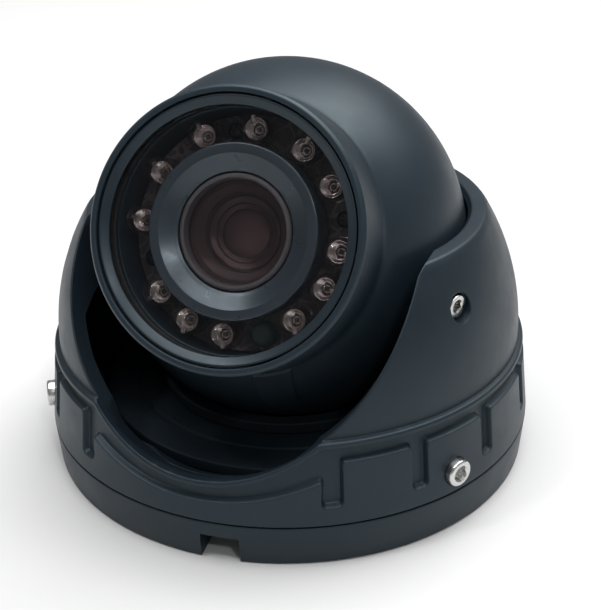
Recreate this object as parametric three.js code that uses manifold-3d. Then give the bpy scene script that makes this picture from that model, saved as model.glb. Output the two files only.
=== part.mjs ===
// Dome camera with an eyeball unit held in a round bell housing.
// Millimetres, +Z up. The origin is the centre of the mounting face, z = 0 is
// the face that meets the ceiling or wall, and -Y is the middle of the front slot.
import * as THREE from 'three';
import * as BufferGeometryUtils from 'three/addons/utils/BufferGeometryUtils.js';
import Module from 'manifold-3d';

const wasm = await Module();
wasm.setup();

// ---------------------------------------------------------------- dimensions
const BASE_R0 = 46.4;          // outer radius of the base at the mounting face
const BASE_R1 = 47.0;          // outer radius of the base at the seam
const SEAM_Z0 = 7.7;           // top of the base wall
const SEAM_Z1 = 8.0;           // bottom of the cover
const BASE_FLOOR = 2.8;        // thickness of the base floor
const SPIGOT_R1 = 42.4;        // outer radius of the base's inner collar
const SPIGOT_R0 = 39.4;        // inner radius of the same collar
const SPIGOT_TOP = 14.6;
const CABLE_HOLE_R = 8.0;      // hole in the middle of the base
const FIXING_PCD = 60.0;       // three fixing holes in the base
const FIXING_HOLE_R = 2.3;
const FIXING_ANGLES = [90, 210, 330];
const NOTCH_ANGLE = 5.9;       // cable notch in the edge of the base
const NOTCH_WIDTH = 7.0;
const NOTCH_HEIGHT = 5.0;

const BAND_R_TOP = 45.4;       // radius of the band under its top ledge
const BAND_TOP = 22.8;
const BAND_DEPTH = 1.2;        // depth of the recess between the raised pads
const RECESS_Z0 = 11.5;        // bottom of the gaps between the pads
const RECESS_Z1 = 22.1;        // underside of the bead
const PAD_TOP = 19.8;
const PAD_GAP = 3.7;           // width of the gaps, in degrees
const PAD_GAPS = [30.2, 49.8, 70.2, 92, 114, 136, 158, 180, -158, -136, -114, -92, -70.2, -49.8, -30.2];
const FRONT_PAD_R = 53.6;      // arc on top of the front pad, seen from the front
const FRONT_PAD_Z = 65.5;
const BELL_R = 44.4;           // outer sphere of the bell
const BELL_Z = 24.0;
const BELL_WALL_R = 41.3;      // inner sphere of the bell
const RIM_Z = 48.2;            // flat rim round the ball
const SLOT_R = 31.4;           // round-bottomed front slot, seen from the front
const SLOT_Z = 46.8;

const BALL_R = 33.9;
const BALL_Z = 40.6;
const SEAT_R = 34.4;           // spherical seat in the bell
const YAW = 3.3;               // azimuth of the lens from the middle of the slot
const ELEVATION = 24.55;       // elevation of the lens

const BEZEL_R0 = 24.2;         // round bezel, radius where it meets the sphere
const BEZEL_R1 = 23.7;
const BEZEL_H = 36.5;          // front of the bezel from the centre of the ball
const SPLIT_H = -15.0;         // joint between the two halves of the ball

const LED_RING_R = 17.5;
const LED_R = 2.4;
const LED_CLOCK = [332.4, 3, 33, 58.4, 94.4, 116, 140.4, 183.6, 206, 228.6, 271, 300];
const STANDOFF_CLOCK = [76.5, 249.8, 347.6];
const LIGHT_SENSOR_CLOCK = 162;

const LOCK_ANGLE = 66.2;       // ball lock screws in the shoulders of the bell
const LOCK_Z = 39.9;
const COVER_SCREW_ANGLES = [59.3, -59.3, 180];
const COVER_SCREW_Z = 11.9;
const PRESS_SCREW_ANGLES = [90, -90, 150, -150];
const PRESS_SCREW_R = 33.0;

const rad = THREE.MathUtils.degToRad;

// ---------------------------------------------------------------- geometry helpers
// merged, closed, outward-facing geometry holding only positions
function clean(geometry) {
  const g = geometry.clone();
  g.deleteAttribute('normal');
  g.deleteAttribute('uv');
  const m = BufferGeometryUtils.mergeVertices(g, 1e-4);
  const idx = m.index ? Array.from(m.index.array) : [...Array(m.attributes.position.count).keys()];
  const p = m.attributes.position.array;
  const keep = [];
  let volume = 0;
  for (let i = 0; i < idx.length; i += 3) {
    const [a, b, c] = [idx[i], idx[i + 1], idx[i + 2]];
    if (a === b || b === c || a === c) continue;
    keep.push(a, b, c);
    volume += (p[3 * a] * (p[3 * b + 1] * p[3 * c + 2] - p[3 * b + 2] * p[3 * c + 1])
      - p[3 * a + 1] * (p[3 * b] * p[3 * c + 2] - p[3 * b + 2] * p[3 * c])
      + p[3 * a + 2] * (p[3 * b] * p[3 * c + 1] - p[3 * b + 1] * p[3 * c])) / 6;
  }
  if (volume < 0) for (let i = 0; i < keep.length; i += 3) [keep[i], keep[i + 1]] = [keep[i + 1], keep[i]];
  m.setIndex(keep);
  return m;
}

function solid(geometry) {
  const m = clean(geometry);
  return new wasm.Manifold(new wasm.Mesh({
    numProp: 3,
    vertProperties: Float32Array.from(m.attributes.position.array),
    triVerts: Uint32Array.from(m.index.array),
  }));
}

function geometryOf(manifold) {
  const m = manifold.getMesh();
  const g = new THREE.BufferGeometry();
  const p = new Float32Array(m.numVert * 3);
  for (let i = 0; i < m.numVert; i++) for (let k = 0; k < 3; k++) p[3 * i + k] = m.vertProperties[m.numProp * i + k];
  g.setAttribute('position', new THREE.BufferAttribute(p, 3));
  g.setIndex(Array.from(m.triVerts));
  return g;
}

// body of revolution about Z; points are [radius, z], closed on the axis or on itself
function lathe(points, segments, start = 0) {
  const pts = points.map(([r, z]) => new THREE.Vector2(r, z));
  const first = pts[0], last = pts[pts.length - 1];
  if (!(first.x === 0 && last.x === 0)) pts.push(first.clone());
  const g = new THREE.LatheGeometry(pts, segments, rad(start), Math.PI * 2);
  g.rotateX(Math.PI / 2);
  return clean(g);
}

const cylinder = (r, z0, z1, segments, start = 0) => lathe([[0, z0], [r, z0], [r, z1], [0, z1]], segments, start);
const tube = (r0, r1, z0, z1, segments) => lathe([[r0, z0], [r1, z0], [r1, z1], [r0, z1]], segments);

function box(x0, x1, y0, y1, z0, z1) {
  const g = new THREE.BoxGeometry(x1 - x0, y1 - y0, z1 - z0);
  g.translate((x0 + x1) / 2, (y0 + y1) / 2, (z0 + z1) / 2);
  return g;
}

// outline in the X-Z plane, seen from the front, carried along Y
function fromFront(points, y0, y1) {
  const shape = new THREE.Shape(points.map(([x, z]) => new THREE.Vector2(x, z)));
  const g = new THREE.ExtrudeGeometry(shape, { depth: y1 - y0, bevelEnabled: false, steps: 1 });
  g.rotateX(Math.PI / 2);
  g.translate(0, y1, 0);
  return g;
}

// outline in the X-Y plane carried along Z
function fromTop(points, z0, z1) {
  const shape = new THREE.Shape(points.map(([x, y]) => new THREE.Vector2(x, y)));
  const g = new THREE.ExtrudeGeometry(shape, { depth: z1 - z0, bevelEnabled: false, steps: 1 });
  g.translate(0, 0, z0);
  return g;
}

// azimuth a is measured from -Y towards +X
const dirX = (a) => Math.sin(rad(a));
const dirY = (a) => -Math.cos(rad(a));

// geometry built along +Z is turned to lie along the outward radius at azimuth a
function radial(geometry, a, z) {
  const g = geometry.clone();
  g.rotateX(Math.PI / 2);           // +Z becomes -Y
  g.rotateZ(rad(a));
  g.translate(0, 0, z);
  return g;
}

// geometry built round Z is moved out to radius r at azimuth a
function outTo(geometry, r, a) {
  const g = geometry.clone();
  g.translate(r * dirX(a), r * dirY(a), 0);
  return g;
}

// slice of a disc between two azimuths
function slice(a0, a1, r, z0, z1) {
  const pts = [[0, 0]];
  const n = Math.max(2, Math.ceil((a1 - a0) / 8));
  for (let i = 0; i <= n; i++) {
    const a = a0 + (a1 - a0) * i / n;
    pts.push([r * dirX(a), r * dirY(a)]);
  }
  return fromTop(pts, z0, z1);
}

const sphereR = (radius, dz) => Math.sqrt(Math.max(0, radius * radius - dz * dz));

// hexagonal socket cutter along Z
const hexSocket = (acrossFlats, z0, z1) => cylinder(acrossFlats / Math.sqrt(3), z0, z1, 6, 30);

function join(list) { return list.map(solid).reduce((a, b) => a.add(b)); }
function cut(body, list) { return list.reduce((a, g) => a.subtract(solid(g)), body); }

// ---------------------------------------------------------------- scene graph
const camera = new THREE.Group();
const pan = new THREE.Group();
pan.position.set(0, 0, BALL_Z);
pan.rotation.z = rad(YAW);
const tilt = new THREE.Group();
tilt.rotation.x = rad(90 - ELEVATION);
pan.add(tilt);
camera.add(pan);

function material(color, roughness, metalness, extra = {}) {
  return new THREE.MeshStandardMaterial({ color, roughness, metalness, ...extra });
}
const paint = () => material(0x2c343b, 0.45, 0.3);
const ballPaint = () => material(0x2e363d, 0.42, 0.3);
const steel = () => material(0xb9bcc0, 0.3, 0.9);
const rubber = () => material(0x141516, 0.85, 0.0);
const nylon = () => material(0x1c1d1f, 0.6, 0.0);
const board = () => material(0x18331f, 0.55, 0.0);

function add(parent, name, geometry, mat) {
  const g = geometry instanceof wasm.Manifold ? geometryOf(geometry) : geometry;
  g.computeVertexNormals();
  const mesh = new THREE.Mesh(g, mat);
  mesh.name = name;
  parent.add(mesh);
  return mesh;
}

// ---------------------------------------------------------------- base
{
  const SEG = 48;
  const body = [lathe([
    [0, 0], [BASE_R0, 0], [BASE_R1, SEAM_Z0], [45.8, SEAM_Z0], [45.8, 6.5], [SPIGOT_R1, 6.5],
    [SPIGOT_R1, SPIGOT_TOP], [SPIGOT_R0, SPIGOT_TOP], [SPIGOT_R0, BASE_FLOOR], [0, BASE_FLOOR]], SEG)];
  // inner bosses that take the three cover screws
  for (const a of COVER_SCREW_ANGLES) {
    const b = box(-3.5, 3.5, -40.5, -36.8, BASE_FLOOR - 0.5, SPIGOT_TOP - 0.6);
    b.rotateZ(rad(a));
    body.push(b);
  }
  const cuts = [cylinder(CABLE_HOLE_R, -1, BASE_FLOOR + 1, 16)];
  for (const a of FIXING_ANGLES) cuts.push(outTo(cylinder(FIXING_HOLE_R, -1, BASE_FLOOR + 1, 10), FIXING_PCD / 2, a));
  for (const a of COVER_SCREW_ANGLES) cuts.push(radial(cylinder(1.8, 34, 44, 8), a, COVER_SCREW_Z));
  const notch = box(-NOTCH_WIDTH / 2, NOTCH_WIDTH / 2, -50, -37.5, -1, NOTCH_HEIGHT);
  notch.rotateZ(rad(NOTCH_ANGLE));
  cuts.push(notch);
  add(camera, 'base_plate', cut(join(body), cuts), paint());
}
add(camera, 'base_seal', tube(42.9, 45.4, 6.8, 7.7, 36), rubber());

// ---------------------------------------------------------------- cover housing
{
  const SEG = 48;
  const cone = (z) => 47.0 - (z - SEAM_Z1) * ((47.0 - BAND_R_TOP) / (BAND_TOP - SEAM_Z1));
  const outer = [[42.7, SEAM_Z1], [cone(SEAM_Z1), SEAM_Z1], [BAND_R_TOP, BAND_TOP], [44.95, 23.2]];
  for (const z of [23.3, 30, 36.5, 42.5, 47.7]) outer.push([sphereR(BELL_R, z - BELL_Z), z]);
  outer.push([36.9, RIM_Z], [34.3, RIM_Z]);
  for (const z of [47.3, 42.5, 36.4]) outer.push([sphereR(SEAT_R, z - BALL_Z), z]);
  outer.push([40.2, 33.0], [41.1, 27.5], [BELL_WALL_R - 0.05, 15.0], [42.7, 15.0]);
  let body = solid(lathe(outer, SEG));

  // posts and webs that take the press ring screws
  for (const a of PRESS_SCREW_ANGLES) {
    const web = box(-2, 2, -42.3, -PRESS_SCREW_R, 16.1, 22.5);
    web.rotateZ(rad(a));
    body = body.add(solid(outTo(cylinder(2.9, 12.6, 22.5, 8), PRESS_SCREW_R, a)));
    body = body.add(solid(web));
    body = body.subtract(solid(outTo(cylinder(1.7, 11, 19.5, 6), PRESS_SCREW_R, a)));
  }

  // front slot: round bottom, open upwards
  const slot = (r, grow) => {
    const pts = [];
    for (let i = 0; i <= 18; i++) {
      const t = rad(180 + 180 * i / 18);
      pts.push([r * Math.cos(t), SLOT_Z + r * Math.sin(t)]);
    }
    pts.push([r + 1.0 + grow, 49.5], [r + 1.0 + grow, 60], [-(r + 1.0 + grow), 60], [-(r + 1.0 + grow), 49.5]);
    return pts;
  };
  body = body.subtract(solid(fromFront(slot(SLOT_R, 0), -60, -6)));

  // recess of the band, less the raised pads and the bead that follows the slot
  const ringCut = solid(lathe([
    [cone(RECESS_Z0) - BAND_DEPTH, RECESS_Z0], [52, RECESS_Z0], [52, RECESS_Z1], [cone(RECESS_Z1) - BAND_DEPTH, RECESS_Z1]], SEG));
  let keep = solid(fromFront(slot(SLOT_R + 1.1, 0), -60, -6));
  for (let i = 0; i < PAD_GAPS.length - 1; i++) {
    let a0 = PAD_GAPS[i] + PAD_GAP / 2;
    let a1 = PAD_GAPS[i + 1] - PAD_GAP / 2;
    if (a1 < a0) a1 += 360;
    keep = keep.add(solid(slice(a0, a1, 60, RECESS_Z0 - 2, PAD_TOP)));
  }
  // the front pad follows the slot
  const front = [];
  const halfWidth = 45.5 * Math.sin(rad(PAD_GAPS[0] - PAD_GAP / 2));
  for (let i = 0; i <= 10; i++) {
    const x = -halfWidth + 2 * halfWidth * i / 10;
    front.push([x, FRONT_PAD_Z - Math.sqrt(FRONT_PAD_R ** 2 - x * x)]);
  }
  front.push([halfWidth, RECESS_Z0 - 2], [-halfWidth, RECESS_Z0 - 2]);
  keep = keep.add(solid(fromFront(front, -60, -6)));
  body = body.subtract(ringCut.subtract(keep));

  // screw holes
  for (const a of COVER_SCREW_ANGLES) {
    body = body.subtract(solid(radial(cylinder(1.8, 41, 48, 8), a, COVER_SCREW_Z)));
    body = body.subtract(solid(radial(cylinder(2.8, 45.7, 50, 12), a, COVER_SCREW_Z)));
  }
  for (const a of [LOCK_ANGLE, -LOCK_ANGLE]) {
    body = body.subtract(solid(radial(cylinder(2.35, 32, 46, 10), a, LOCK_Z)));
    body = body.subtract(solid(radial(cylinder(2.6, 40.3, 46, 12), a, LOCK_Z)));
  }
  add(camera, 'cover_housing', body, paint());
}

// button-head socket screws that hold the cover to the base
COVER_SCREW_ANGLES.forEach((a, i) => {
  const s = solid(lathe([[0, 37.6], [1.4, 37.6], [1.4, 46.0], [2.5, 46.0], [2.5, 47.6], [2.2, 47.9], [0, 47.9]], 10));
  const g = geometryOf(s.subtract(solid(hexSocket(2.5, 46.6, 49))));
  add(camera, `cover_screw_${i + 1}`, radial(g, a, COVER_SCREW_Z), steel());
});

// socket set screws that lock the ball
[['lock_screw_right', LOCK_ANGLE], ['lock_screw_left', -LOCK_ANGLE]].forEach(([name, a]) => {
  const s = solid(lathe([[0, 34.25], [1.2, 34.25], [2.0, 34.9], [2.0, 40.5], [1.8, 40.7], [0, 40.7]], 10));
  const g = geometryOf(s.subtract(solid(hexSocket(2.0, 38.8, 42))));
  add(camera, name, radial(g, a, LOCK_Z), steel());
});

// ---------------------------------------------------------------- press ring and its screws
{
  let ring = solid(tube(19.9, 36.0, 9.9, 12.2, 32));
  for (const a of PRESS_SCREW_ANGLES) ring = ring.subtract(solid(outTo(cylinder(1.7, 9, 13, 6), PRESS_SCREW_R, a)));
  add(camera, 'press_ring', ring, paint());
}
PRESS_SCREW_ANGLES.forEach((a, i) => {
  const s = solid(lathe([[0, 8.2], [2.4, 8.2], [2.4, 9.6], [1.3, 9.6], [1.3, 18.6], [0, 18.6]], 8));
  const g = geometryOf(s.subtract(solid(hexSocket(1.9, 7, 9.0))));
  add(camera, `press_ring_screw_${i + 1}`, outTo(g, PRESS_SCREW_R, a), steel());
});

// nylon ring the ball turns on
{
  const pts = [];
  for (const z of [12.5, 14.6]) pts.push([sphereR(BALL_R + 0.35, z - BALL_Z), z]);
  pts.push([25.0, 14.6], [25.0, 12.5]);
  const g = lathe(pts, 32);
  g.translate(0, 0, -BALL_Z);
  add(pan, 'friction_ring', g, nylon());
}

// ---------------------------------------------------------------- ball shells
// In this group +Z is the lens axis, +Y is up and +X is to the viewer's right.
{
  const SEG = 40;
  const pts = [];
  for (const h of [SPLIT_H, -5, 5, 14, 20.5]) pts.push([sphereR(BALL_R, h), h]);
  pts.push([BEZEL_R0, sphereR(BALL_R, BEZEL_R0)], [BEZEL_R1, 35.9], [BEZEL_R1 - 0.5, BEZEL_H], [22.4, BEZEL_H],
    [22.4, 31.2], [20.5, 31.2], [20.5, sphereR(31, 20.5)]);
  for (const h of [17, 6, -5, SPLIT_H]) pts.push([sphereR(31, h), h]);
  let body = solid(lathe(pts, SEG));
  for (const a of [90, 210, 330]) {
    const x = 24.6 * Math.cos(rad(a)), y = 24.6 * Math.sin(rad(a));
    const boss = cylinder(3.3, SPLIT_H, -7.5, 8);
    const hole = cylinder(1.7, SPLIT_H - 1, -9, 6);
    boss.translate(x, y, 0);
    hole.translate(x, y, 0);
    body = body.add(solid(boss)).subtract(solid(hole));
  }
  add(tilt, 'ball_front_shell', body, ballPaint());
}

{
  const SEG = 36;
  const h0 = SPLIT_H - 0.3;
  const h1 = SPLIT_H - 1.3;     // floor of the rebate for the seal
  const pts = [];
  for (const h of [h0, -21, -26.5, -31]) pts.push([sphereR(BALL_R, h), h]);
  pts.push([4.0, -sphereR(BALL_R, 4.0)], [4.0, -sphereR(31, 4.0)]);
  for (const h of [-27.5, -21.5, h1]) pts.push([sphereR(31, h), h]);
  pts.push([29.0, h1], [29.0, h0]);
  let body = solid(lathe(pts, SEG));
  const inside = solid(lathe([[0, -33.6], [12.5, -31.2], [19.5, -27.2], [25.5, -21.6], [29.3, -16.4], [29.3, h1], [0, h1]], SEG));
  for (const a of [90, 210, 330]) {
    const x = 24.6 * Math.cos(rad(a)), y = 24.6 * Math.sin(rad(a));
    const boss = cylinder(3.3, -30, h1, 8);
    const hole = cylinder(1.7, -40, -10, 6);
    const head = cylinder(2.75, -40, -18.6, 10);
    boss.translate(x, y, 0);
    hole.translate(x, y, 0);
    head.translate(x, y, 0);
    body = body.add(solid(boss).intersect(inside)).subtract(solid(hole)).subtract(solid(head));
  }
  add(tilt, 'ball_rear_cap', body, ballPaint());
}
add(tilt, 'ball_seal', tube(27.9, 28.7, SPLIT_H - 1.0, SPLIT_H - 0.3, 28), rubber());
[90, 210, 330].forEach((a, i) => {
  const s = solid(lathe([[0, -20.6], [2.35, -20.6], [2.35, -18.9], [1.35, -18.9], [1.35, -9.6], [0, -9.6]], 8));
  const g = geometryOf(s.subtract(solid(hexSocket(1.9, -22, -19.8))));
  g.translate(24.6 * Math.cos(rad(a)), 24.6 * Math.sin(rad(a)), 0);
  add(tilt, `rear_cap_screw_${i + 1}`, g, steel());
});
add(tilt, 'cable_grommet', lathe([[2.0, -33.45], [3.7, -33.45], [3.7, -29.9], [6.0, -29.9], [6.0, -28.6], [2.0, -28.6]], 12), rubber());

// ---------------------------------------------------------------- front glass
add(tilt, 'glass_retaining_ring', lathe([[20.5, 35.0], [22.1, 35.0], [22.1, 36.1], [20.5, 35.35]], 36), material(0x1b2025, 0.35, 0.3));
add(tilt, 'front_glass', cylinder(22.1, 32.5, 34.7, 32), material(0x20242a, 0.05, 0.0, { transparent: true, opacity: 0.35 }));
add(tilt, 'glass_seal', tube(20.8, 22.1, 31.5, 32.2, 28), rubber());

// ---------------------------------------------------------------- lens
add(tilt, 'lens_shroud', lathe([[10.1, 24.3], [14.4, 24.3], [14.4, 26.0], [14.8, 26.4], [14.8, 31.9], [14.5, 32.2],
  [12.4, 32.2], [10.1, 30.5]], 28), material(0x20252a, 0.5, 0.0));
add(tilt, 'lens_barrel', lathe([[5.3, 5.5], [7.0, 5.5], [7.0, 19.5], [9.8, 20.5], [9.8, 30.6], [9.4, 30.9], [9.0, 30.9],
  [9.0, 27.6], [8.0, 27.6], [5.3, 24.6]], 22), material(0x15181b, 0.4, 0.2));
add(tilt, 'lens_front', lathe([[0, 28.0], [8.7, 28.4], [8.7, 29.2], [5.5, 30.2], [0, 30.7]], 20),
  material(0x2a2326, 0.05, 0.0, { transparent: true, opacity: 0.35 }));
add(tilt, 'lens_inner_ring', tube(4.2, 5.0, 23.9, 25.0, 18), material(0x3a3a3c, 0.35, 0.6));
add(tilt, 'lens_mid', lathe([[0, 21.3], [5.0, 21.7], [5.0, 22.6], [2.8, 23.3], [0, 23.6]], 16),
  material(0x2a2326, 0.05, 0.0, { transparent: true, opacity: 0.35 }));
add(tilt, 'lens_iris', tube(1.3, 5.0, 19.6, 20.4, 16), material(0x0c0d0e, 0.6, 0.0));
add(tilt, 'lens_rear', lathe([[0, 9.6], [5.0, 10.2], [5.0, 11.4], [0, 12.2]], 14),
  material(0x2a2326, 0.05, 0.0, { transparent: true, opacity: 0.35 }));
add(tilt, 'lens_holder', solid(box(-9, 9, -9, 9, 1.3, 12)).subtract(solid(cylinder(7.35, 0, 14, 14))), material(0x17191b, 0.6, 0.0));
add(tilt, 'image_sensor', box(-4.6, 4.6, -4.6, 4.6, 1.3, 2.7), material(0x2b2d38, 0.25, 0.2));

// ---------------------------------------------------------------- boards
add(tilt, 'sensor_board', box(-19, 19, -19, 19, -0.6, 1.0), board());
{
  let g = solid(tube(10.1, 20.2, 22.4, 24.0, 28));
  for (const c of STANDOFF_CLOCK) {
    const hole = cylinder(1.25, 21, 25, 6);
    hole.translate(LED_RING_R * Math.sin(rad(c)), LED_RING_R * Math.cos(rad(c)), 0);
    g = g.subtract(solid(hole));
  }
  add(tilt, 'led_board', g, material(0x14181a, 0.5, 0.0));
}
STANDOFF_CLOCK.forEach((c, i) => {
  const x = LED_RING_R * Math.sin(rad(c)), y = LED_RING_R * Math.cos(rad(c));
  const post = cylinder(1.7, 1.3, 22.1, 6);
  post.translate(x, y, 0);
  add(tilt, `board_standoff_${i + 1}`, post, material(0xb08d45, 0.3, 0.9));
  const screw = lathe([[0, 22.6], [0.85, 22.6], [0.85, 24.3], [1.45, 24.3], [1.45, 25.3], [0, 25.3]], 8);
  screw.translate(x, y, 0);
  add(tilt, `board_screw_${i + 1}`, screw, steel());
});

// ---------------------------------------------------------------- infrared lamps and light sensor
LED_CLOCK.forEach((c, i) => {
  const g = lathe([[0, 24.3], [2.65, 24.3], [2.65, 25.3], [LED_R, 25.3], [LED_R, 30.2], [1.5, 31.6], [0, 32.1]], 9);
  g.translate(LED_RING_R * Math.sin(rad(c)), LED_RING_R * Math.cos(rad(c)), 0);
  add(tilt, `ir_led_${String(i + 1).padStart(2, '0')}`, g, material(0x2b2426, 0.08, 0.0, { transparent: true, opacity: 0.6 }));
});
{
  const g = cylinder(2.3, 24.3, 27.2, 10);
  g.translate(LED_RING_R * Math.sin(rad(LIGHT_SENSOR_CLOCK)), LED_RING_R * Math.cos(rad(LIGHT_SENSOR_CLOCK)), 0);
  add(tilt, 'light_sensor', g, material(0x6a5a3c, 0.3, 0.0));
}

export default camera;
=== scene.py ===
import math

import bpy
import numpy as np
from mathutils import Matrix, Vector


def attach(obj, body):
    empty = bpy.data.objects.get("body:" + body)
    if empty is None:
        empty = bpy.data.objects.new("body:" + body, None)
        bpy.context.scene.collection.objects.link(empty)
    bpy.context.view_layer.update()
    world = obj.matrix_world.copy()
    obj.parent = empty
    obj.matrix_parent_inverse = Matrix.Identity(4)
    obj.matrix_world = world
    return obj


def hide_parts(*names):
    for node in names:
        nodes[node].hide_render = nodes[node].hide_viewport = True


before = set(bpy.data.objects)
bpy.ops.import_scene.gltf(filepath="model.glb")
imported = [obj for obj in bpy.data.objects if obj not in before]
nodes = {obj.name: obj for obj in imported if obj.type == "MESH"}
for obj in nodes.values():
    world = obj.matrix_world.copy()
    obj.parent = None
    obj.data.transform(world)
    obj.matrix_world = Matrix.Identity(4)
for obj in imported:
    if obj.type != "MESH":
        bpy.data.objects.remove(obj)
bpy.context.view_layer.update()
scene = bpy.context.scene
MM = 0.001

# ------------------------------------------------------------------ dimensions, mm
BAND_DEPTH = 1.2
BAND_R, BAND_TOP = 45.4, 22.8
RECESS_Z0, RECESS_Z1, PAD_TOP, PAD_GAP = 11.5, 22.1, 19.8, 3.7
GAPS = [30.2, 49.8, 70.2, 92, 114, 136, 158, 180, -158, -136, -114, -92, -70.2, -49.8, -30.2]
PAD_ARC_R, PAD_ARC_Z = 53.6, 65.5
SLOT_R, SLOT_Z = 31.4, 46.8
BELL_R, BELL_Z = 44.4, 24.0
BALL_R, BALL_Z, SEAT_R = 33.9, 40.6, 34.4
YAW, ELEV = math.radians(3.3), math.radians(24.55)
LED_RING_R = 17.5
LED_CLOCK = [332.4, 3, 33, 58.4, 94.4, 116, 140.4, 183.6, 206, 228.6, 271, 300]
STANDOFF_CLOCK = [76.5, 249.8, 347.6]
SENSOR_CLOCK = 162
LOCK_A, LOCK_Z = 66.2, 39.9
COVER_SCREWS, COVER_SCREW_Z = [59.3, -59.3, 180], 11.9
PRESS_SCREWS, PRESS_R = [90, -90, 150, -150], 33.0

# ball frame: +Z along the lens, +Y up, +X to the viewer's right
BALL = Matrix.Translation((0, 0, BALL_Z)) @ Matrix.Rotation(YAW, 4, "Z") @ Matrix.Rotation(math.pi / 2 - ELEV, 4, "X")


def cone(z):
    return 47.0 - (z - 8.0) * ((47.0 - BAND_R) / (BAND_TOP - 8.0))


def sph(radius, dz):
    return np.sqrt(np.maximum(0.0, radius * radius - np.asarray(dz, float) ** 2))


def radial(a, z):
    """Frame whose +Z runs outward at azimuth a (degrees from -Y towards +X), at height z."""
    return Matrix.Translation((0, 0, z)) @ Matrix.Rotation(math.radians(a), 4, "Z") @ Matrix.Rotation(math.pi / 2, 4, "X")


# ------------------------------------------------------------------ mesh code
def rnd(pts, closed=True, n=4):
    """Section with its corners rounded: each point is (r, z) or (r, z, corner radius)."""
    out, count = [], len(pts)
    for i, p in enumerate(pts):
        rad = p[2] if len(p) > 2 else 0.0
        b = np.array(p[:2], float)
        if rad <= 0 or (not closed and i in (0, count - 1)):
            out.append(tuple(b))
            continue
        a = np.array(pts[i - 1][:2], float)
        c = np.array(pts[(i + 1) % count][:2], float)
        u, v = a - b, c - b
        lu, lv = np.linalg.norm(u), np.linalg.norm(v)
        u, v = u / lu, v / lv
        ang = math.acos(max(-1, min(1, float(u @ v))))
        if ang > math.pi - 0.05:
            out.append(tuple(b))
            continue
        t = min(rad / math.tan(ang / 2), lu * 0.49, lv * 0.49)
        rr = t * math.tan(ang / 2)
        cen = b + (u + v) / np.linalg.norm(u + v) * (rr / math.sin(ang / 2))
        p0, p1 = b + u * t - cen, b + v * t - cen
        a0 = math.atan2(p0[1], p0[0])
        d = (math.atan2(p1[1], p1[0]) - a0 + math.pi) % (2 * math.pi) - math.pi
        for k in range(n + 1):
            q = a0 + d * k / n
            out.append((cen[0] + rr * math.cos(q), cen[1] + rr * math.sin(q)))
    return out


def dense(pts, step, closed=True):
    """Section with extra points, so that no side is longer than step."""
    out = []
    last = len(pts) if closed else len(pts) - 1
    for i in range(last):
        a, b = np.array(pts[i], float), np.array(pts[(i + 1) % len(pts)], float)
        n = max(1, int(math.ceil(np.linalg.norm(b - a) / step)))
        out += [tuple(a + (b - a) * k / n) for k in range(n)]
    if not closed:
        out.append(tuple(pts[-1]))
    return out


def grid_faces(n, m, wrap_rows=True):
    idx = np.arange(n * m).reshape(n, m)
    nxt = np.roll(idx, -1, 0)
    if not wrap_rows:
        idx, nxt = idx[:-1], nxt[:-1]
    return np.stack([idx, np.roll(idx, -1, 1), np.roll(nxt, -1, 1), nxt], -1).reshape(-1, 4)


def lathe(pts, seg=96, start=0.0, angles=None):
    """Body of revolution round Z. Angles run from +Y towards +X."""
    p = np.array([q[:2] for q in pts], float)
    a = np.radians(np.asarray(angles, float)) if angles is not None else np.arange(seg) * 2 * math.pi / seg + math.radians(start)
    m = len(a)
    if p[0, 0] < 1e-9 and p[-1, 0] < 1e-9:
        q = p[1:-1]
        v = np.stack([q[:, :1] * np.sin(a), q[:, :1] * np.cos(a), np.repeat(q[:, 1:], m, 1)], -1).reshape(-1, 3)
        f = grid_faces(len(q), m, False).tolist()
        v = np.vstack([v, [[0, 0, p[0, 1]], [0, 0, p[-1, 1]]]])
        lo, hi, base = len(v) - 2, len(v) - 1, (len(q) - 1) * m
        for j in range(m):
            k = (j + 1) % m
            f.append([lo, k, j])
            f.append([hi, base + j, base + k])
        return v, f
    v = np.stack([p[:, :1] * np.sin(a), p[:, :1] * np.cos(a), np.repeat(p[:, 1:], m, 1)], -1).reshape(-1, 3)
    return v, grid_faces(len(p), m).tolist()


def prism(outline, z0, z1):
    """Closed prism of an outline of (x, y) points."""
    o = np.array(outline, float)
    n = len(o)
    v = np.vstack([np.c_[o, np.full(n, z0)], np.c_[o, np.full(n, z1)]])
    f = [[i, (i + 1) % n, n + (i + 1) % n, n + i] for i in range(n)]
    f += [list(range(n))[::-1], list(range(n, 2 * n))]
    return v, f


def block(x0, x1, y0, y1, z0, z1):
    return prism([(x0, y0), (x1, y0), (x1, y1), (x0, y1)], z0, z1)


def hexagon(across, z0, z1):
    r = across / math.sqrt(3)
    return prism([(r * math.cos(math.radians(30 + 60 * k)), r * math.sin(math.radians(30 + 60 * k))) for k in range(6)], z0, z1)


def rod(r, z0, z1, seg=40, x=0.0, y=0.0):
    return prism([(x + r * math.cos(2 * math.pi * k / seg), y + r * math.sin(2 * math.pi * k / seg)) for k in range(seg)], z0, z1)


def moved(vf, matrix):
    v, f = vf
    m = np.array(matrix)
    return np.asarray(v) @ m[:3, :3].T + m[:3, 3], f


def signed_volume(v, f):
    total = 0.0
    v = np.asarray(v)
    quads = np.array([q for q in f if len(q) == 4])
    for sel in ([0, 1, 2], [0, 2, 3]):
        if len(quads):
            a, b, c = (v[quads[:, k]] for k in sel)
            total += float((a * np.cross(b, c)).sum())
    for q in f:
        if len(q) != 4:
            for k in range(1, len(q) - 1):
                total += float(v[q[0]] @ np.cross(v[q[k]], v[q[k + 1]]))
    return total


def object_of(name, vf, matrix=None):
    v, f = vf if matrix is None else moved(vf, matrix)
    if signed_volume(v, f) < 0:
        f = [q[::-1] for q in f]
    me = bpy.data.meshes.new(name)
    me.from_pydata((np.asarray(v) * MM).tolist(), [], [tuple(q) for q in f])
    me.update()
    ob = bpy.data.objects.new(name, me)
    scene.collection.objects.link(ob)
    return ob


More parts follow.
